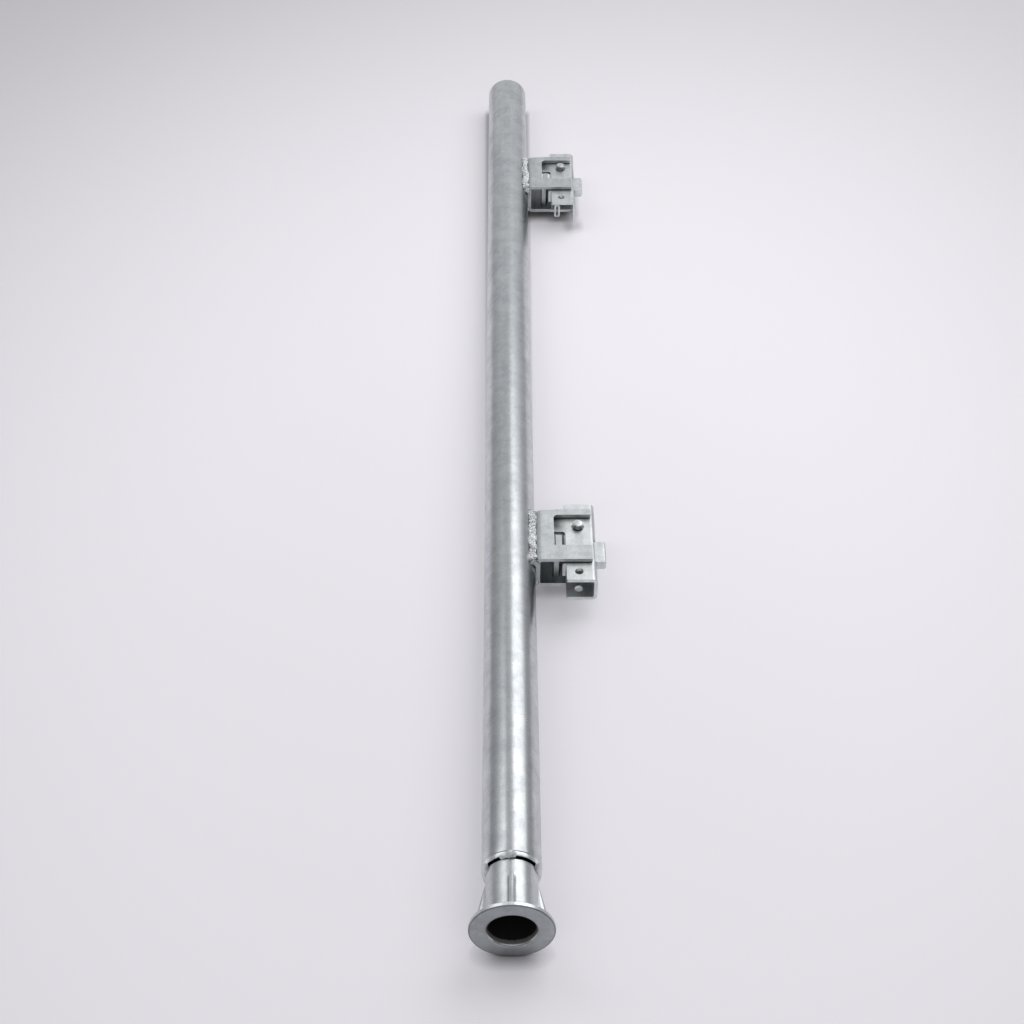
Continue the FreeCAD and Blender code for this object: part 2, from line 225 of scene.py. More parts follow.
def sharp_spots(node):
    """Where a catch's short edges stay sharp, at its relief and its leg: y, half width and height range."""
    if not node.endswith("slide"):
        return []
    relief = span(node.replace("slide", "thumb_block"))[1][1]
    leg_end = span("upper_slide")[0][1] + LEG_LENGTH
    return [(relief, 2.2 * MM, 5 * MM, 13.2 * MM), (leg_end, 0.6 * MM, -20.2 * MM, -5 * MM)]


def is_eased(edge, spots):
    """True for a cut sheet's edge that turns enough and doesn't end in a spot that stays sharp."""
    least, most = EASED_TURNS
    kept = any(
        abs(end.co.y - middle) < half and low < end.co.z < high and end.co.x > CATCH_BEND
        for end in edge.verts for middle, half, low, high in spots)
    return least < edge.calc_face_angle(0) < most and not (kept and edge.calc_length() < LEG_LENGTH)


def eased_mesh(node, name):
    """Copy of a CAD node's mesh with its flat faces made whole and the edges to ease marked."""
    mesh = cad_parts[node].data.copy()
    mesh.name = name
    if "custom_normal" in mesh.attributes:
        mesh.attributes.remove(mesh.attributes["custom_normal"])
    edit = bmesh.new()
    edit.from_mesh(mesh)
    bmesh.ops.remove_doubles(edit, verts=edit.verts, dist=MERGE_GAP)
    bmesh.ops.dissolve_limit(edit, angle_limit=FLAT_ANGLE, verts=edit.verts, edges=edit.edges)
    spots = sharp_spots(node)
    marks = edit.edges.layers.float.new("bevel_weight_edge")
    for edge in edit.edges:
        edge[marks] = is_eased(edge, spots)
    edit.to_mesh(mesh)
    edit.free()
    mesh.polygons.foreach_set("use_smooth", np.ones(len(mesh.polygons), bool))
    return mesh


def add_piece(mesh, body, nodes, material):
    """Object for a mesh, on a body of the frame, in place of the CAD nodes."""
    piece = bpy.data.objects.new(mesh.name, mesh)
    bpy.context.scene.collection.objects.link(piece)
    mesh.materials.clear()
    mesh.materials.append(material)
    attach(piece, body)
    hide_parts(*nodes)
    return piece


# Finishes


def link_nodes(tree, pairs):
    """Links (output socket, input socket) pairs."""
    for out, into in pairs:
        tree.links.new(out, into)


def new_math(tree, operation, first, second=0):
    """Math node's value; its inputs are sockets or plain numbers."""
    node = tree.nodes.new("ShaderNodeMath")
    node.operation = operation
    for socket, value in zip(node.inputs, (first, second)):
        if isinstance(value, (int, float)):
            socket.default_value = value
        else:
            tree.links.new(value, socket)
    return node.outputs[0]


def product(tree, *values):
    """Product of sockets and plain numbers."""
    total = values[0]
    for value in values[1:]:
        total = new_math(tree, "MULTIPLY", total, value)
    return total


def map_range(tree, value, start, end, first=0.0, last=1.0, smooth=False):
    """Value carried from start and end to first and last, and held beyond them."""
    node = tree.nodes.new("ShaderNodeMapRange")
    node.interpolation_type = "SMOOTHSTEP" if smooth else "LINEAR"
    for label, number in (("From Min", start), ("From Max", end), ("To Min", first), ("To Max", last)):
        node.inputs[label].default_value = number
    tree.links.new(value, node.inputs["Value"])
    return node.outputs[0]


def ramp(tree, value, start, end):
    """Smooth rise from nought at the start to one at the end; the end may be the smaller."""
    low, high = sorted((start, end))
    return map_range(tree, value, low, high, float(start > end), float(start < end), True)


def new_mix(tree, blend_type, share, under, over):
    """Colour Mix node's result; the two colours are sockets or plain colours."""
    node = tree.nodes.new("ShaderNodeMix")
    node.data_type = "RGBA"
    node.blend_type = blend_type
    tree.links.new(share, node.inputs[0])
    for socket, colour in zip([s for s in node.inputs if s.type == "RGBA"], (under, over)):
        if isinstance(colour, bpy.types.NodeSocket):
            tree.links.new(colour, socket)
        else:
            socket.default_value = (*colour, 1)
    return next(s for s in node.outputs if s.type == "RGBA")


def split_axes(tree, vector):
    """Sockets of a vector's x, y and z."""
    split = tree.nodes.new("ShaderNodeSeparateXYZ")
    tree.links.new(vector, split.inputs[0])
    return split.outputs


def noise(tree, vector, scale, detail):
    """Noise texture's value; the scale is a socket or a number."""
    node = tree.nodes.new("ShaderNodeTexNoise")
    node.inputs["Detail"].default_value = detail
    node.inputs["Roughness"].default_value = 0.6
    if isinstance(scale, (int, float)):
        node.inputs["Scale"].default_value = scale
    else:
        tree.links.new(scale, node.inputs["Scale"])
    tree.links.new(vector, node.inputs["Vector"])
    return node.outputs["Fac"]


def new_group(name, inputs, outputs):
    """Empty shader node group: its tree, the sockets that it is given and those of its result."""
    tree = bpy.data.node_groups.new(name, "ShaderNodeTree")
    for label, kind, default in inputs:
        socket = tree.interface.new_socket(label, in_out="INPUT", socket_type="NodeSocket" + kind)
        if default is not None:
            socket.default_value = default
    for label, kind in outputs:
        tree.interface.new_socket(label, in_out="OUTPUT", socket_type="NodeSocket" + kind)
    return tree, tree.nodes.new("NodeGroupInput").outputs, tree.nodes.new("NodeGroupOutput").inputs


def zinc_group():
    """Node group for a hot-dip zinc skin: cloudy mottling, runs along the post, spangle and grain."""
    name = "zinc_skin"
    if name in bpy.data.node_groups:
        return bpy.data.node_groups[name]
    inputs = (
        ("Vector", "Vector", None),
        ("Light", "Color", (0.7, 0.72, 0.74, 1)),
        ("Dull", "Color", (0.5, 0.53, 0.56, 1)),
        ("Cloud Scale", "Float", 45.0),
        ("Run Scale", "Float", 160.0),
        ("Spangle Scale", "Float", 170.0),
        ("Gloss", "Float", 0.35),
        ("Gloss Spread", "Float", 0.12),
    )
    outputs = (("Color", "Color"), ("Roughness", "Float"), ("Height", "Float"))
    tree, given, result = new_group(name, inputs, outputs)

    clouds = noise(tree, given["Vector"], given["Cloud Scale"], 4.0)
    grain = noise(tree, given["Vector"], 850.0, 2.0)
    stretch = tree.nodes.new("ShaderNodeVectorMath")
    stretch.operation = "MULTIPLY"
    stretch.inputs[1].default_value = (1, 0.07, 1)
    runs = noise(tree, stretch.outputs[0], given["Run Scale"], 3.0)
    cells = tree.nodes.new("ShaderNodeTexVoronoi")
    spangle = tree.nodes.new("ShaderNodeSeparateColor")
    link_nodes(tree, [
        (given["Vector"], stretch.inputs[0]),
        (given["Vector"], cells.inputs["Vector"]),
        (given["Spangle Scale"], cells.inputs["Scale"]),
        (cells.outputs["Color"], spangle.inputs[0]),
    ])

    tone = None
    for value, share in ((clouds, 0.85), (runs, 0.5), (spangle.outputs[0], 0.2), (grain, 0.7)):
        weighted = product(tree, new_math(tree, "SUBTRACT", value, 0.5), share)
        tone = weighted if tone is None else new_math(tree, "ADD", tone, weighted)
    shade = map_range(tree, tone, -0.24, 0.24)
    dulling = product(tree, tone, given["Gloss Spread"])
    lumps = new_math(tree, "ADD", product(tree, clouds, 2.0), product(tree, grain, 0.25))
    link_nodes(tree, [
        (new_mix(tree, "MIX", shade, given["Dull"], given["Light"]), result["Color"]),
        (new_math(tree, "SUBTRACT", given["Gloss"], dulling), result["Roughness"]),
        (lumps, result["Height"]),
    ])
    return tree


def bore_group():
    """Node group for a hole along the post: its inside, and how far that is past the pale mouth."""
    name = "bore_inside"
    if name in bpy.data.node_groups:
        return bpy.data.node_groups[name]
    inputs = (
        ("Vector", "Vector", None),
        ("Radius", "Float", None),
        ("Start", "Float", None),
        ("End", "Float", None),
    )
    tree, given, result = new_group(name, inputs, (("Inside", "Float"), ("Deep", "Float")))
    x, y, z = split_axes(tree, given["Vector"])
    square = new_math(tree, "ADD", product(tree, x, x), product(tree, z, z))
    within = new_math(tree, "LESS_THAN", new_math(tree, "SQRT", square), given["Radius"])
    inside = product(tree, within, new_math(tree, "LESS_THAN", y, given["End"]))
    uneven = product(tree, noise(tree, given["Vector"], 400.0, 3.0), 2 * MM)
    depth = new_math(tree, "SUBTRACT", new_math(tree, "ADD", y, uneven), given["Start"])
    link_nodes(tree, [
        (inside, result["Inside"]),
        (product(tree, inside, map_range(tree, depth, 0, 1.5 * MM)), result["Deep"]),
    ])
    return tree


def fold_group():
    """Node group that masks the inner faces of a folded channel, for painted shade: past its web and
    between its plates.
    """
    name = "fold_inside"
    if name in bpy.data.node_groups:
        return bpy.data.node_groups[name]
    inputs = (("Vector", "Vector", None), ("Web", "Float", None), ("Half Height", "Float", None))
    tree, given, result = new_group(name, inputs, (("Inside", "Float"),))
    axes = split_axes(tree, given["Vector"])
    past_web = new_math(tree, "GREATER_THAN", axes["X"], given["Web"])
    between = new_math(tree, "LESS_THAN", new_math(tree, "ABSOLUTE", axes["Z"]), given["Half Height"])
    tree.links.new(product(tree, past_web, between), result["Inside"])
    return tree


def object_place(material):
    """Socket of the Object coordinates in a material."""
    place = next(n for n in material.node_tree.nodes if n.bl_idname == "ShaderNodeTexCoord")
    return place.outputs["Object"]


def mask_node(material, group, **settings):
    """Outputs of a group in a material, on Object coordinates, with its named inputs set."""
    tree = material.node_tree
    node = tree.nodes.new("ShaderNodeGroup")
    node.node_tree = group
    for label, value in settings.items():
        node.inputs[label.replace("_", " ")].default_value = value
    tree.links.new(object_place(material), node.inputs["Vector"])
    return node.outputs


def near_foot(material, radius, end):
    """Mask of what is within a radius of the post's axis and nearer the foot than an end."""
    return mask_node(material, bore_group(), Radius=radius, Start=NO_LIMIT, End=end)["Inside"]


def rib_line(material):
    """Mask of painted shade lines on the neck, in the creases along both sides of the upper and lower ribs.
    """
    tree = material.node_tree
    x, y, z = split_axes(tree, object_place(material))
    beside = new_math(tree, "SUBTRACT", new_math(tree, "ABSOLUTE", x), 2.9 * MM)
    return product(
        tree,
        ramp(tree, y, 4.4 * MM, 5.5 * MM),
        ramp(tree, y, 38.5 * MM, 36 * MM),
        ramp(tree, new_math(tree, "ABSOLUTE", z), 19.6 * MM, 20.4 * MM),
        ramp(tree, new_math(tree, "ABSOLUTE", beside), 0.7 * MM, 0.3 * MM),
    )


def window_shade(material):
    """Mask of the painted shade on the catches in the windows' inner corner; y repeats from bracket to
    bracket.
    """
    tree = material.node_tree
    x, y, z = split_axes(tree, object_place(material))
    first, second = (float(span(station + "_bracket")[0][1]) for station in STATIONS)
    along = new_math(tree, "MODULO", new_math(tree, "SUBTRACT", y, first), second - first)
    return product(
        tree,
        ramp(tree, x, 58 * MM, 43 * MM),
        ramp(tree, z, 4 * MM, 6 * MM),
        ramp(tree, along, 36 * MM, 52 * MM),
        ramp(tree, along, 64 * MM, 61 * MM),
    )


def tint_masked(material, mask, colour):
    """Multiplies a material's base colour by a colour where a mask is one."""
    tree = material.node_tree
    base = tree.nodes["Principled BSDF"].inputs["Base Color"]
    tree.links.new(new_mix(tree, "MULTIPLY", mask, base.links[0].from_socket, colour), base)


def dull_masked(material, mask):
    """Takes most of the metal's mirror away where a mask is one."""
    tree = material.node_tree
    metal = new_math(tree, "SUBTRACT", 1.0, product(tree, mask, 0.9))
    tree.links.new(metal, tree.nodes["Principled BSDF"].inputs["Metallic"])


def zinc_material(name, light, dull, gloss, cloud=45.0, run=160.0, spangle=170.0, bump=0.12, depth=0.2):
    """Metal with the zinc skin's colour, roughness and bump."""
    material = bpy.data.materials.new(name)
    material.use_nodes = True
    tree = material.node_tree
    shader = tree.nodes["Principled BSDF"]
    shader.inputs["Metallic"].default_value = 1.0
    place = tree.nodes.new("ShaderNodeTexCoord")
    skin = tree.nodes.new("ShaderNodeGroup")
    skin.node_tree = zinc_group()
    skin.inputs["Light"].default_value = (*light, 1)
    skin.inputs["Dull"].default_value = (*dull, 1)
    skin.inputs["Cloud Scale"].default_value = cloud
    skin.inputs["Run Scale"].default_value = run
    skin.inputs["Spangle Scale"].default_value = spangle
    skin.inputs["Gloss"].default_value = gloss
    relief = tree.nodes.new("ShaderNodeBump")
    relief.inputs["Strength"].default_value = bump
    relief.inputs["Distance"].default_value = depth * MM
    link_nodes(tree, [
        (place.outputs["Object"], skin.inputs["Vector"]),
        (skin.outputs["Color"], shader.inputs["Base Color"]),
        (skin.outputs["Roughness"], shader.inputs["Roughness"]),
        (skin.outputs["Height"], relief.inputs["Height"]),
        (relief.outputs["Normal"], shader.inputs["Normal"]),
    ])
    return material


def tube_zinc(name, look):
    """Tube: painted shade inside, with a painted highlight on the band and painted shade on the face at its
    welded end.
    """
    zinc = zinc_material(name, look.tube_light, look.tube_dull, look.tube_gloss)
    start = float(span("post_tube")[0][1])
    bore = mask_node(zinc, bore_group(), Radius=22.5 * MM, Start=60 * MM, End=1.2)
    # Painted shade inside the tube, past the foot
    tint_masked(zinc, bore["Deep"], look.painted_recess_shade)
    # Painted highlight on the band at the welded end, where the lamps catch it
    tint_masked(zinc, near_foot(zinc, NO_LIMIT, start + TUBE_BAND), look.bright)
    # Painted shade on the welded end's face, down in the groove
    tint_masked(zinc, near_foot(zinc, 22.8 * MM, start - 1 * MM), look.painted_recess_shade)


def foot_zinc(name, look):
    """Foot: bore with a pale mouth and painted shade deeper in, painted shade in the groove, painted shade
    on the flat face with a painted dark line round it, a painted highlight on the rim's top, and painted
    shade lines beside the ribs.
    """
    zinc = zinc_material(name, look.foot_light, look.foot_dull, look.foot_gloss)
    tree = zinc.node_tree
    bore = mask_node(zinc, bore_group(), Radius=19.5 * MM, Start=5.2 * MM, End=NO_LIMIT)
    groove = mask_node(zinc, bore_group(), Radius=20.7 * MM, Start=NECK_END, End=NO_LIMIT)
    tint_masked(zinc, bore["Inside"], look.bore_mouth)
    # Painted shade deeper in the bore and in the groove at the neck's end
    tint_masked(zinc, bore["Deep"], look.painted_recess_shade)
    tint_masked(zinc, groove["Deep"], look.painted_recess_shade)
    dull_masked(zinc, bore["Inside"])

    # Painted shade on the flange's flat face, and a painted dark line along its rounded edge
    seat = near_foot(zinc, 32.9 * MM, 0.75 * MM)
    edge = near_foot(zinc, 34.3 * MM, 0.75 * MM)
    tint_masked(zinc, seat, look.seat)
    tint_masked(zinc, new_math(tree, "SUBTRACT", edge, seat), look.seat_line)

    # Painted highlight on the top of the flange's rim, where the lamps fall
    flange = near_foot(zinc, NO_LIMIT, 4.2 * MM)
    within = near_foot(zinc, 33.6 * MM, 4.2 * MM)
    upper = ramp(tree, split_axes(tree, object_place(zinc))["Z"], 20 * MM, 30 * MM)
    tint_masked(zinc, product(tree, new_math(tree, "SUBTRACT", flange, within), upper), look.bright)
    # Painted shade lines in the creases beside the ribs
    tint_masked(zinc, rib_line(zinc), look.crevice)


def plate_zinc(name, look):
    """Brackets: plate with painted shade inside its folds."""
    zinc = zinc_material(name, look.plate_light, look.plate_dull, look.plate_gloss)
    fold = mask_node(zinc, fold_group(), Web=28.2 * MM, Half_Height=14.05 * MM)
    # Painted shade on the faces inside the fold
    tint_masked(zinc, fold["Inside"], look.fold_shade)


def bar_zinc(name, look):
    """Guide bars: plain plate."""
    zinc_material(name, look.plate_light, look.plate_dull, look.plate_gloss)


def sheet_zinc(name, look):
    """Catches and thumb blocks: paler sheet, with painted shade in the windows' inner corner."""
    zinc = zinc_material(name, look.sheet_light, look.sheet_dull, look.plate_gloss, cloud=60.0)
    # Painted shade where the window's edges shadow the catch
    tint_masked(zinc, window_shade(zinc), look.window)


def edge_highlight_zinc(name, look):
    """Eased edges of folded steel, pale as a painted highlight."""
    zinc_material(name, look.edge, look.sheet_light, 0.5)


def tack_zinc(name, look):
    """Foot's tack: pale and less of a mirror."""
    zinc = zinc_material(
        name, look.tack_light, look.edge, 0.4, cloud=300.0, run=500.0, spangle=500.0, bump=0.5)
    zinc.node_tree.nodes["Principled BSDF"].inputs["Metallic"].default_value = 0.4


def weld_zinc(name, look):
    """Bracket welds: bright, with deep fine dents."""
    zinc_material(
        name, look.weld_light, look.weld_dull, 0.28,
        cloud=300.0, run=500.0, spangle=500.0, bump=0.9, depth=0.7)


def washer_zinc(name, look):
    """Washers: fine bright plating."""
    return zinc_material(
        name, look.weld_light, look.plate_dull, 0.28, cloud=260.0, run=400.0, spangle=400.0, bump=0.2)


def pin_zinc(name, look):
    """Stop pins: the washers' plating, with painted shade below the top."""
    zinc = washer_zinc(name, look)
    tree = zinc.node_tree
    top = float(span("lower_stop_pin")[1][2])
    height = split_axes(tree, object_place(zinc))["Z"]
    # Painted shade on the shank below the head
    tint_masked(zinc, ramp(tree, height, top - 0.7 * MM, top - 1.6 * MM), look.crevice)


FINISHES = {
    "tube": tube_zinc, "foot": foot_zinc, "plate": plate_zinc, "bar": bar_zinc, "sheet": sheet_zinc,
    "edge": edge_highlight_zinc, "tack": tack_zinc, "weld": weld_zinc, "washer": washer_zinc, "pin": pin_zinc,
}


def finish_of(kind):
    """Material for a kind of piece, from the scene's settings; made once for each kind."""
    name = kind + "_zinc"
    if name not in bpy.data.materials:
        FINISHES[kind](name, bpy.context.scene.post_finish)
    return bpy.data.materials[name]


class PostFinish(bpy.types.PropertyGroup):
    """Colours and gloss of the zinc on each kind of piece, and the painted shades and highlights laid over
    them.
    """
    tube_light: bpy.props.FloatVectorProperty(
        name="Tube light", description="Bright zinc on the tube", subtype="COLOR",
        default=(0.615, 0.645, 0.655))
    tube_dull: bpy.props.FloatVectorProperty(
        name="Tube dull", description="Dull zinc on the tube", subtype="COLOR",
        default=(0.455, 0.475, 0.495))
    plate_light: bpy.props.FloatVectorProperty(
        name="Plate light", description="Bright zinc on the plates", subtype="COLOR",
        default=(0.63, 0.665, 0.67))
    plate_dull: bpy.props.FloatVectorProperty(
        name="Plate dull", description="Dull zinc on the plates", subtype="COLOR",
        default=(0.46, 0.485, 0.49))
    # Painted highlight on the eased edges of the folded steel; also the dull tone of the foot's tack
    edge: bpy.props.FloatVectorProperty(
        name="Edges", description="Bright zinc along folded edges", subtype="COLOR",
        default=(0.78, 0.805, 0.81))
    foot_light: bpy.props.FloatVectorProperty(
        name="Foot light", description="Bright zinc on the foot", subtype="COLOR",
        default=(0.64, 0.67, 0.675))
    foot_dull: bpy.props.FloatVectorProperty(
        name="Foot dull", description="Dull zinc on the foot", subtype="COLOR",
        default=(0.49, 0.51, 0.525))
    weld_light: bpy.props.FloatVectorProperty(
        name="Weld light", description="Bright zinc on the welds", subtype="COLOR",
        default=(0.80, 0.82, 0.83))
    weld_dull: bpy.props.FloatVectorProperty(
        name="Weld dull", description="Dull zinc on the welds", subtype="COLOR",
        default=(0.36, 0.38, 0.39))
    sheet_light: bpy.props.FloatVectorProperty(
        name="Sheet light", description="Bright zinc on the catches", subtype="COLOR",
        default=(0.76, 0.795, 0.80))
    sheet_dull: bpy.props.FloatVectorProperty(
        name="Sheet dull", description="Dull zinc on the catches", subtype="COLOR",
        default=(0.56, 0.585, 0.59))
    # Painted shade on the brackets' inner faces
    fold_shade: bpy.props.FloatVectorProperty(
        name="Fold shade", description="Shade inside the brackets", subtype="COLOR",
        default=(0.36, 0.37, 0.385))
    bore_mouth: bpy.props.FloatVectorProperty(
        name="Bore mouth", description="Scale at the bore's mouth", subtype="COLOR",
        default=(0.46, 0.43, 0.395))
    # Painted shade on the flange's flat face
    seat: bpy.props.FloatVectorProperty(
        name="Seat", description="Shade of the flange's flat face", subtype="COLOR",
        default=(0.66, 0.67, 0.67))
    # Painted dark line along the rounded edge of the flange's face, standing in for its dark reflection
    seat_line: bpy.props.FloatVectorProperty(
        name="Seat line", description="Dark line round the flange's face", subtype="COLOR",
        default=(0.40, 0.41, 0.42))
    tack_light: bpy.props.FloatVectorProperty(
        name="Tack", description="Bright zinc on the foot's tack", subtype="COLOR",
        default=(0.95, 0.965, 0.97))
    # Painted shade in the windows' inner corners, on the catches
    window: bpy.props.FloatVectorProperty(
        name="Window", description="Shade in the windows' corners", subtype="COLOR",
        default=(0.17, 0.175, 0.18))
    # Painted shade in the creases beside the foot's ribs and on the pins below their tops
    crevice: bpy.props.FloatVectorProperty(
        name="Crevice", description="Shade in crevices", subtype="COLOR", default=(0.48, 0.49, 0.50))
    # Painted highlight: lightens the tube's end band and the top of the flange's rim, where the lamps catch
    # them
    bright: bpy.props.FloatVectorProperty(
        name="Bright", description="Lightening of ground edges", subtype="COLOR",
        default=(1.42, 1.42, 1.42))
    # Painted shade, laid deep in the foot's bore, in the groove at the neck's end, inside the tube and on
    # the tube's welded end face
    painted_recess_shade: bpy.props.FloatVectorProperty(
        name="Painted shade", description="Dark inside of the bore", subtype="COLOR", default=(0.09, 0.09, 0.095))
    foot_gloss: bpy.props.FloatProperty(
        name="Foot roughness", description="Blur of the foot's reflections", min=0, max=1, default=0.34)
    tube_gloss: bpy.props.FloatProperty(
        name="Tube roughness", description="Blur of the tube's reflections", min=0, max=1, default=0.30)
    plate_gloss: bpy.props.FloatProperty(
        name="Plate roughness", description="Blur of the plates' reflections", min=0, max=1,
        default=0.42)


class PostShapes(bpy.types.PropertyGroup):
    """Sizes of the surfaces that the looks add."""
    edge_ease: bpy.props.FloatProperty(
        name="Edge ease", description="Width of the eased edges", unit="LENGTH", default=0.45 * MM)
    tube_wall: bpy.props.FloatProperty(
        name="Tube wall", description="Thickness of the tube", unit="LENGTH", default=2.9 * MM)
    socket_radius: bpy.props.FloatProperty(
        name="Socket radius", description="Radius of the foot's bore", unit="LENGTH", default=19.3 * MM)
    neck_radius: bpy.props.FloatProperty(
        name="Neck radius", description="Outer radius of the foot's neck", unit="LENGTH",
        default=21.2 * MM)
    flange: bpy.props.FloatProperty(
        name="Flange", description="Thickness of the foot's flange", unit="LENGTH", default=4.3 * MM)
    ripple_pitch: bpy.props.FloatProperty(
        name="Ripple pitch", description="Length of one blob in a weld", unit="LENGTH", default=6.4 * MM)
    ripple_depth: bpy.props.FloatProperty(
        name="Ripple depth", description="Blobs as a share of the bead", min=0, max=1, default=0.30)
    lump_size: bpy.props.FloatProperty(
        name="Lumps", description="Unevenness as a share of the bead", min=0, max=1, default=0.16)


class PostStage(bpy.types.PropertyGroup):
    """Floor, lamps and camera."""
    floor_colour: bpy.props.FloatVectorProperty(
        name="Floor", description="Colour of the floor", subtype="COLOR", default=(0.82, 0.805, 0.845))
    floor_lift: bpy.props.FloatProperty(
        name="Floor lift", description="Paleness that the floor keeps in view", min=0, default=0.32)
    room_level: bpy.props.FloatProperty(
        name="Room", description="Strength of the room's light", min=0, default=1.0)
    key_power: bpy.props.FloatProperty(
        name="Right lamp", description="Power of the wide lamp on the right", unit="POWER", default=21.0)
    fill_power: bpy.props.FloatProperty(
        name="Left lamp", description="Power of the lamp on the left", unit="POWER", default=7.4)
    front_power: bpy.props.FloatProperty(
        name="Front lamp", description="Power of the lamp behind the camera", unit="POWER", default=11.0)
    lens: bpy.props.FloatProperty(
        name="Lens", description="Camera's focal length in millimetres", default=61.17)
    camera_place: bpy.props.FloatVectorProperty(
        name="Camera", description="Camera's place", subtype="TRANSLATION",
        default=(-0.0038, -0.7784, 1.1390))
    camera_turn: bpy.props.FloatVectorProperty(
        name="Camera turn", description="Camera's rotation", subtype="EULER",
        default=(math.radians(47.904), 0, math.radians(-0.28)))


class PostOperator:
    """What the post's operators share."""
    bl_options = {"REGISTER", "UNDO"}


class POST_OT_tube(PostOperator, bpy.types.Operator):
    """Long tube with a band and a thin groove at its welded end, and a rounded rim"""
    bl_idname = "post.tube"
    bl_label = "Post tube"

    def execute(self, context):
        sizes = context.scene.post_shapes
        low, high = span("post_tube")
        outer = high[0]
        inner = outer - sizes.tube_wall
        end = low[1] - TUBE_END_SHIFT
        band = low[1] + TUBE_BAND
        profile = rounded_path([
            (inner, end, 0.3 * MM), (outer - 0.8 * MM, end, 0.4 * MM),
            (outer - 0.25 * MM, band, 0.1 * MM), (outer - 0.55 * MM, band + 0.25 * MM, 0),
            (outer, band + TUBE_GROOVE, 0.1 * MM),
            (outer, high[1], 0.7 * MM), (inner, high[1], 0.5 * MM), (inner, high[1] - 10 * MM, 0),
        ])
        profile = filled_path(profile, 12 * MM)
        angles = np.linspace(0, 2 * np.pi, 192, endpoint=False)[None]
        points = round_the_post(profile[:, :1], profile[:, 1:], angles)
        mesh = surface_mesh("post_tube_zinc", points, True)
        add_piece(mesh, "post", ["post_tube"], finish_of("tube"))
        return {"FINISHED"}


class POST_OT_foot(PostOperator, bpy.types.Operator):
    """Cast foot: flange, neck with four ribs, and spigot, with a bore right through"""
    bl_idname = "post.foot"
    bl_label = "Socket foot"

    rib_height: bpy.props.FloatProperty(
        name="Rib height", description="Rib above the neck at the flange", unit="LENGTH",
        default=9.0 * MM)
    rib_width: bpy.props.FloatProperty(
        name="Rib width", description="Thickness of a rib", unit="LENGTH", default=5.2 * MM)
    rib_end: bpy.props.FloatProperty(
        name="Rib end", description="Where a rib runs out on the neck", unit="LENGTH", default=41.0 * MM)

    def profiles(self, sizes):
        """Two (radius, y) paths with as many points: between the ribs, and along a rib's crest."""
        high = span("foot_socket")[1]
        bore, neck, back = sizes.socket_radius, sizes.neck_radius, sizes.flange
        rim = high[0]
        spigot = neck - 0.9 * MM
        paths = []
        for root, end in ((neck, neck), (neck + self.rib_height, neck + 0.5 * MM)):
            paths.append(rounded_path([
                (bore, high[1], 0.3 * MM), (bore, 0, 2.6 * MM), (rim, 0, 0.6 * MM), (rim, back, 1.2 * MM),
                (root, back, 2.0 * MM), (end, self.rib_end, 0), (neck, self.rib_end + 0.4 * MM, 0),
                (neck, NECK_END, 0.4 * MM), (spigot, NECK_END, 0.1 * MM), (spigot, high[1], 0.3 * MM),
            ], 8))
        rows = np.arange(len(paths[0]))
        finer = np.linspace(0, rows[-1], 5 * len(rows) - 4)
        return [np.stack([np.interp(finer, rows, path[:, k]) for k in (0, 1)], axis=1) for path in paths]

    def execute(self, context):
        """Plain turned point outside the ribs; in a rib (1 - w) * plain + w * crest, with w a half oval.

        A column inside a rib stands at half * sin(p) beside its middle plane, with w = cos(p)^0.7.
        Columns outside share the angle from the rib's edge to 45 degrees. The half width runs out to
        a rounded nose at the rib's end.
        """
        sizes = context.scene.post_shapes
        plain, crest = self.profiles(sizes)
        nose = np.clip((self.rib_end + 0.3 * MM - crest[:, 1:]) / (5 * MM), 0, 1)
        half = self.rib_width / 2 * np.sqrt(1 - (1 - nose) ** 2) + 0.02 * MM
        p = np.radians(np.linspace(-90, 90, 33))
        w = np.cos(p) ** 0.7
        edge = np.arcsin(half / sizes.neck_radius)
        share = np.linspace(0, 1, 15)[1:]
        beside = np.broadcast_to(edge + (np.pi / 4 - edge) * share, (len(plain), len(share)))
        inside = np.arcsin(half * np.sin(p) / sizes.neck_radius)
        turn = np.concatenate([-beside[:, -2::-1], inside, beside], axis=1)
        outside = np.zeros(len(share))
        w = np.concatenate([outside[1:], w, outside])
        across = sizes.neck_radius * np.sin(turn)
        level = plain[:, :1] * np.cos(turn) * (1 - w) + crest[:, :1] * w
        side = plain[:, :1] * np.sin(turn) * (1 - w) + across * w
        y = plain[:, 1:] * (1 - w) + crest[:, 1:] * w
        quarters = []
        for quarter in np.radians([0, 90, 180, 270]):
            x = side * np.cos(quarter) + level * np.sin(quarter)
            z = level * np.cos(quarter) - side * np.sin(quarter)
            quarters.append(np.stack([x, y, z], axis=-1))
        mesh = surface_mesh("foot_casting", np.concatenate(quarters, axis=1), True)
        add_piece(mesh, "post", ["foot_socket"], finish_of("foot"))
        return {"FINISHED"}


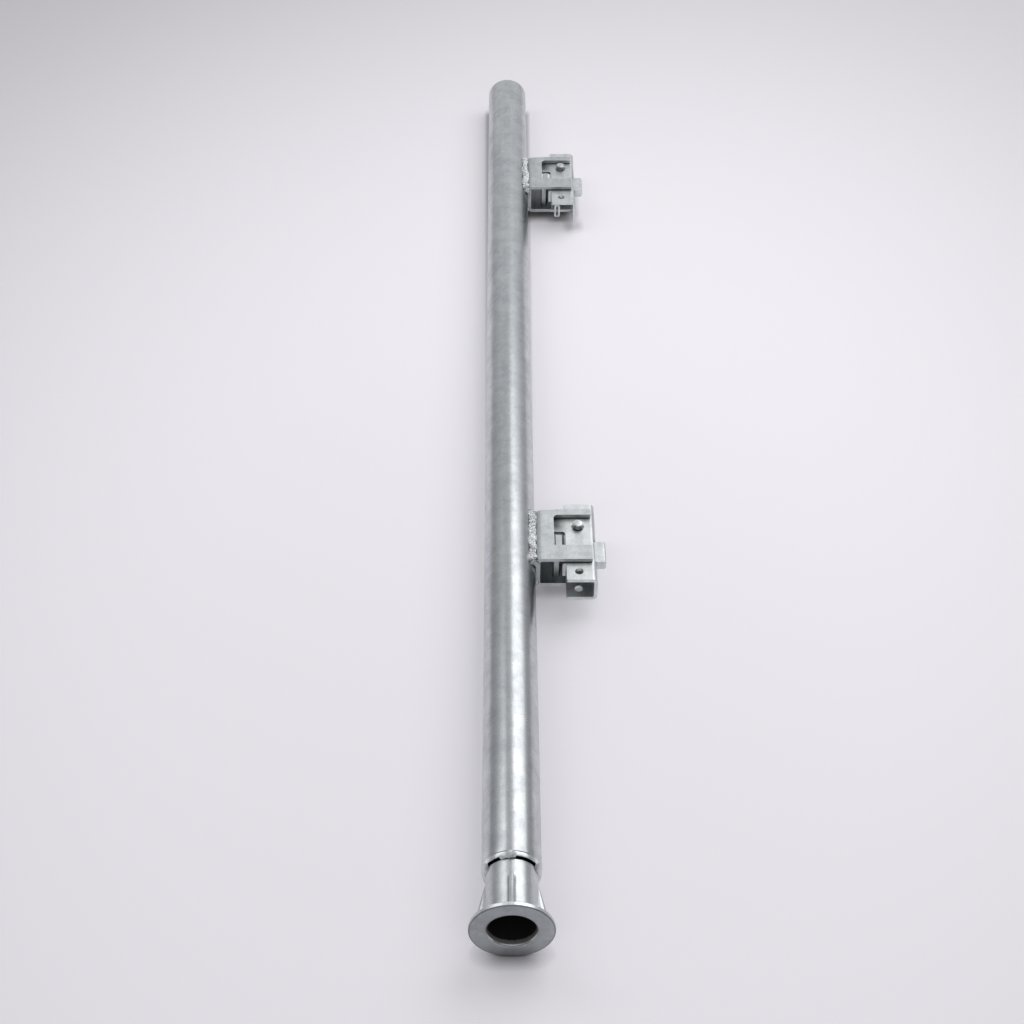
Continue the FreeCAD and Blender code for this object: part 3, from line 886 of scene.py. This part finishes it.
class POST_OT_foot_weld(PostOperator, bpy.types.Operator):
    """Tack and thin run on top, and a long bead round the sides and underside"""
    bl_idname = "post.foot_weld"
    bl_label = "Foot weld"

    def execute(self, context):
        sizes = context.scene.post_shapes
        outer = span("post_tube")[1][0]
        # Name, first angle, sweep, depth under the tube's skin, y, lean, half width, height,
        # roughness, finish
        beads = (
            ("foot_weld_bead", 57, 246, 1.9, 53.2, 15, 5.2, 1.5, 0.35, "foot"),
            ("foot_weld_tack", -11, 20, 0.9, 55.4, 40, 3.2, 1.9, 0.6, "tack"),
            ("foot_weld_run", -25, 18, 1.8, 54.4, 40, 1.7, 1.1, 0.6, "tack"),
        )
        for name, start, sweep, sunk, y, lean, half, tall, rough, kind in beads:
            angles = np.radians(np.linspace(start, start + sweep, int(sweep * 4)))
            radius = outer - sunk * MM
            lean = math.radians(lean)
            path = round_the_post(radius, np.full(angles.shape, y * MM), angles)
            outward = round_the_post(math.cos(lean), np.full(angles.shape, -math.sin(lean)), angles)
            from_end = np.minimum(angles - angles[0], angles[-1] - angles) * radius
            taper = np.sqrt(1 - (1 - np.clip(from_end / (1.8 * half * MM), 0.03, 1)) ** 2)
            wide = half * MM * (0.4 + 0.6 * taper)
            points = bead(path, outward, wide, tall * MM * taper, sizes, FOOT_WELD_SEED, rough)
            mesh = surface_mesh(name, points, False)
            add_piece(mesh, "post", ["foot_weld"], finish_of(kind))
        return {"FINISHED"}


class POST_OT_bracket_welds(PostOperator, bpy.types.Operator):
    """Beads that join each bracket to the tube, above and below"""
    bl_idname = "post.bracket_welds"
    bl_label = "Bracket welds"

    def execute(self, context):
        sizes = context.scene.post_shapes
        # Rows hold x, y from the bracket's near end, z, half width, height, and the outward direction
        controls = np.array([
            (24.9, 0.3, 4.3, 0.7, 0.4, 0.0, -1.0, 0.1),
            (24.7, -0.2, 8.0, 1.5, 0.9, -0.2, -1.0, 0.2),
            (23.9, -0.6, 11.8, 2.9, 2.0, -0.1, -1.0, 0.6),
            (22.4, 1.0, 14.7, 4.7, 3.0, 0.1, -0.6, 1.0),
            (21.5, 4.6, 15.5, 4.5, 2.5, 0.16, -0.1, 1.0),
            (21.4, 11.0, 15.6, 3.8, 1.7, 0.16, 0.0, 1.0),
            (21.4, 22.0, 15.7, 3.6, 1.6, 0.16, 0.0, 1.0),
            (21.4, 38.0, 15.7, 3.7, 1.6, 0.16, 0.0, 1.0),
            (21.4, 54.0, 15.7, 3.7, 1.6, 0.16, 0.0, 1.0),
            (21.4, 64.0, 15.6, 3.9, 1.8, 0.16, 0.1, 1.0),
            (21.2, 69.2, 15.4, 3.3, 1.5, 0.16, 0.4, 1.0),
            (21.1, 71.4, 15.0, 1.4, 0.6, 0.16, 0.8, 1.0),
        ])
        for index, station in enumerate(STATIONS):
            near = span(station + "_bracket")[0][1]
            rows = smooth_curve(controls, 640)
            path = rows[:, :3] * MM + np.array([0, near, 0])
            wide = rows[:, 3] * MM
            tall = rows[:, 4] * MM
            points = bead(path, rows[:, 5:], wide, tall, sizes, BRACKET_WELD_SEED + index)
            for place, flip in (("top", 1), ("under", -1)):
                turned = points * np.array([1, 1, flip])
                mesh = surface_mesh(f"{station}_bracket_bead_{place}", turned, False)
                add_piece(mesh, "post", [station + "_bracket_weld"], finish_of("weld"))
        return {"FINISHED"}


class POST_OT_folded_steel(PostOperator, bpy.types.Operator):
    """Brackets, guide bars, catches and thumb blocks, with eased edges"""
    bl_idname = "post.folded_steel"
    bl_label = "Folded steel"

    def execute(self, context):
        ease = context.scene.post_shapes.edge_ease
        kinds = (
            ("bracket", "channel", "post", "plate"),
            ("guide_bar", "joggled_bar", "post", "bar"),
            ("slide", "sliding_channel", "catch", "sheet"),
            ("thumb_block", "thumb_grip", "catch", "sheet"),
        )
        for station in STATIONS:
            for part, form, carrier, kind in kinds:
                node = f"{station}_{part}"
                body = "post" if carrier == "post" else f"{station}_catch"
                mesh = eased_mesh(node, f"{station}_{form}")
                piece = add_piece(mesh, body, [node], finish_of(kind))
                # Eased edges take the pale finish, a painted highlight
                mesh.materials.append(finish_of("edge"))
                edges = piece.modifiers.new("eased_edges", "BEVEL")
                edges.width = ease
                edges.material = 1
                edges.segments = 2
                edges.limit_method = "WEIGHT"
                edges.use_clamp_overlap = False
                edges.loop_slide = False
                flats = piece.modifiers.new("flat_faces", "WEIGHTED_NORMAL")
                flats.weight = 100
                flats.keep_sharp = True
        return {"FINISHED"}


class POST_OT_pins(PostOperator, bpy.types.Operator):
    """Stop pins with their heads, and washers"""
    bl_idname = "post.pins"
    bl_label = "Pins and washers"

    shank: bpy.props.FloatProperty(
        name="Shank radius", description="Radius of the pin", unit="LENGTH", default=4.85 * MM)

    def execute(self, context):
        for station in STATIONS:
            body = station + "_catch"
            low, high = span(station + "_stop_pin")
            x, y = (low[:2] + high[:2]) / 2
            head = (high[0] - low[0]) / 2
            profile = rounded_path([
                (0.2 * MM, low[2], 0), (head, low[2], 0.7 * MM), (head, low[2] + 1.8 * MM, 0.2 * MM),
                (self.shank, low[2] + 1.8 * MM, 0.1 * MM),
                (self.shank, high[2], 0.8 * MM), (0.2 * MM, high[2], 0),
            ])
            mesh = surface_mesh(station + "_pin", round_a_pin(profile, x, y, 64), False)
            add_piece(mesh, body, [station + "_stop_pin"], finish_of("pin"))
            low, high = span(station + "_pin_washer")
            rim = (high[0] - low[0]) / 2
            ring = rounded_path([
                (self.shank, low[2], 0.2 * MM), (rim, low[2], 0.5 * MM),
                (rim, high[2], 0.5 * MM), (self.shank, high[2], 0.2 * MM),
            ])
            mesh = surface_mesh(station + "_washer", round_a_pin(ring, x, y, 64), True)
            add_piece(mesh, body, [station + "_pin_washer"], finish_of("washer"))
        return {"FINISHED"}


class POST_OT_stage(PostOperator, bpy.types.Operator):
    """Pale floor, soft lamps, room and camera"""
    bl_idname = "post.stage"
    bl_label = "Stage"

    def paper(self, stage):
        """Pale paper with a painted fall-off of light far from the post and a painted contact shadow close
        under it, that keeps a glow where it is seen.
        """
        material = bpy.data.materials.new("studio_paper")
        material.use_nodes = True
        tree = material.node_tree
        shader = tree.nodes["Principled BSDF"]
        shader.inputs["Roughness"].default_value = 0.9
        place = tree.nodes.new("ShaderNodeTexCoord")
        wide = tree.nodes.new("ShaderNodeVectorMath")
        wide.operation = "MULTIPLY"
        wide.inputs[1].default_value = (1.5, 1, 1)
        away = tree.nodes.new("ShaderNodeVectorMath")
        away.operation = "DISTANCE"
        away.inputs[1].default_value = (0, 0.35, 0)
        # Painted fall-off of the lamps' light: darker far from the post
        fade = ramp(tree, away.outputs["Value"], 0.42, 1.9)
        far = [0.60 * value for value in stage.floor_colour]
        # Painted contact shadow from ambient occlusion, close under the post
        contact = tree.nodes.new("ShaderNodeAmbientOcclusion")
        contact.inputs["Distance"].default_value = 15 * MM
        shade = tree.nodes.new("ShaderNodeVectorMath")
        shade.operation = "SCALE"
        paths = tree.nodes.new("ShaderNodeLightPath")
        seen = new_math(tree, "MAXIMUM", paths.outputs["Is Camera Ray"], paths.outputs["Is Glossy Ray"])
        seen = new_math(tree, "MAXIMUM", seen, paths.outputs["Is Transmission Ray"])
        link_nodes(tree, [
            (place.outputs["Object"], wide.inputs[0]),
            (wide.outputs[0], away.inputs[0]),
            (new_mix(tree, "MIX", fade, stage.floor_colour, far), shade.inputs[0]),
            (new_math(tree, "POWER", contact.outputs["AO"], 2), shade.inputs["Scale"]),
            (shade.outputs[0], shader.inputs["Base Color"]),
            (shade.outputs[0], shader.inputs["Emission Color"]),
            (product(tree, seen, stage.floor_lift), shader.inputs["Emission Strength"]),
        ])
        return material

    def floor(self, stage):
        """Plane that touches the flange and the tube's far end."""
        flange = -span("foot_socket")[1][0]
        tube = span("post_tube")[1]
        slope = (-tube[0] - flange) / tube[1]
        reach = 6.0
        corners = np.array([(-reach, -reach), (reach, -reach), (reach, reach), (-reach, reach)])
        heights = flange - 0.1 * MM + slope * corners[:, 1:]
        mesh = bpy.data.meshes.new("floor")
        mesh.from_pydata(np.concatenate([corners, heights], axis=1).tolist(), [], [(0, 1, 2, 3)])
        mesh.materials.append(self.paper(stage))
        floor = bpy.data.objects.new("floor", mesh)
        bpy.context.scene.collection.objects.link(floor)

    def lamp(self, name, power, size, place, aim):
        """Rectangular lamp at a place, turned towards a point."""
        light = bpy.data.lights.new(name, "AREA")
        light.shape = "RECTANGLE"
        light.energy = power
        light.size, light.size_y = size
        lamp = bpy.data.objects.new(name, light)
        lamp.location = place
        away = np.array(place) - np.array(aim)
        lamp.rotation_euler = (math.atan2(math.hypot(away[0], away[1]), away[2]), 0,
                               math.atan2(away[0], -away[1]))
        bpy.context.scene.collection.objects.link(lamp)

    def room(self, level):
        """Grey room: dark behind the camera and at the sides, lighter beyond the post's end."""
        world = bpy.data.worlds.new("studio_room")
        bpy.context.scene.world = world
        world.use_nodes = True
        tree = world.node_tree
        back = tree.nodes["Background"]
        place = tree.nodes.new("ShaderNodeTexCoord")
        axes = split_axes(tree, place.outputs["Generated"])
        walls = tree.nodes.new("ShaderNodeValToRGB")
        stops = (
            (0.0, 0.12), (0.35, 0.20), (0.5, 0.42), (0.8, 0.47), (0.86, 0.50), (0.92, 0.72), (1.0, 0.76))
        while len(walls.color_ramp.elements) < len(stops):
            walls.color_ramp.elements.new(0.5)
        for element, (position, value) in zip(walls.color_ramp.elements, stops):
            element.position = position
            element.color = (value, value * 0.995, value * 1.015, 1)
        across = new_math(tree, "ABSOLUTE", axes["X"])
        link_nodes(tree, [
            (map_range(tree, across, 0.42, 0.66, level, 0.68 * level), back.inputs["Strength"]),
            (map_range(tree, axes["Y"], -1, 1), walls.inputs[0]),
            (walls.outputs["Color"], back.inputs["Color"]),
        ])

    def execute(self, context):
        stage = context.scene.post_stage
        self.floor(stage)
        self.room(stage.room_level)
        self.lamp("right_lamp", stage.key_power, (2.1, 1.9), (1.25, 1.55, 1.5), (1.25, 1.55, 0))
        self.lamp("left_lamp", stage.fill_power, (1.9, 0.8), (-1.55, 1.15, 1.5), (-1.55, 1.15, 0))
        self.lamp("front_lamp", stage.front_power, (3.8, 0.6), (0, -1.9, 1.8), (0, 0.05, 0))
        view = bpy.data.cameras.new("photo_camera")
        view.lens = stage.lens
        camera = bpy.data.objects.new("photo_camera", view)
        camera.location = stage.camera_place
        camera.rotation_euler = stage.camera_turn
        context.scene.collection.objects.link(camera)
        context.scene.camera = camera
        context.scene.view_settings.view_transform = "Standard"
        return {"FINISHED"}


OPERATORS = (
    POST_OT_tube, POST_OT_foot, POST_OT_foot_weld, POST_OT_bracket_welds,
    POST_OT_folded_steel, POST_OT_pins, POST_OT_stage,
)


class POST_PT_panel(bpy.types.Panel):
    """Lists the post's pieces and its settings"""
    bl_idname = "POST_PT_panel"
    bl_label = "Edge protection post"
    bl_space_type = "VIEW_3D"
    bl_region_type = "UI"
    bl_category = "Post"

    def draw(self, context):
        for operator in OPERATORS:
            self.layout.operator(operator.bl_idname)
        for group in (context.scene.post_finish, context.scene.post_shapes, context.scene.post_stage):
            for name in group.__annotations__:
                self.layout.prop(group, name)


GROUPS = (("post_finish", PostFinish), ("post_shapes", PostShapes), ("post_stage", PostStage))


def register():
    """Registers the classes and hangs their settings on the scene."""
    for name, group in GROUPS:
        bpy.utils.register_class(group)
        setattr(bpy.types.Scene, name, bpy.props.PointerProperty(type=group))
    for item in OPERATORS + (POST_PT_panel,):
        bpy.utils.register_class(item)


def unregister():
    """Takes away what register() added."""
    for item in reversed(OPERATORS + (POST_PT_panel,)):
        bpy.utils.unregister_class(item)
    for name, group in reversed(GROUPS):
        delattr(bpy.types.Scene, name)
        bpy.utils.unregister_class(group)


def main():
    """Builds every piece and the stage."""
    register()
    bpy.ops.post.tube()
    bpy.ops.post.foot()
    bpy.ops.post.foot_weld()
    bpy.ops.post.bracket_welds()
    bpy.ops.post.folded_steel()
    bpy.ops.post.pins()
    bpy.ops.post.stage()


if __name__ == "__main__":
    main()
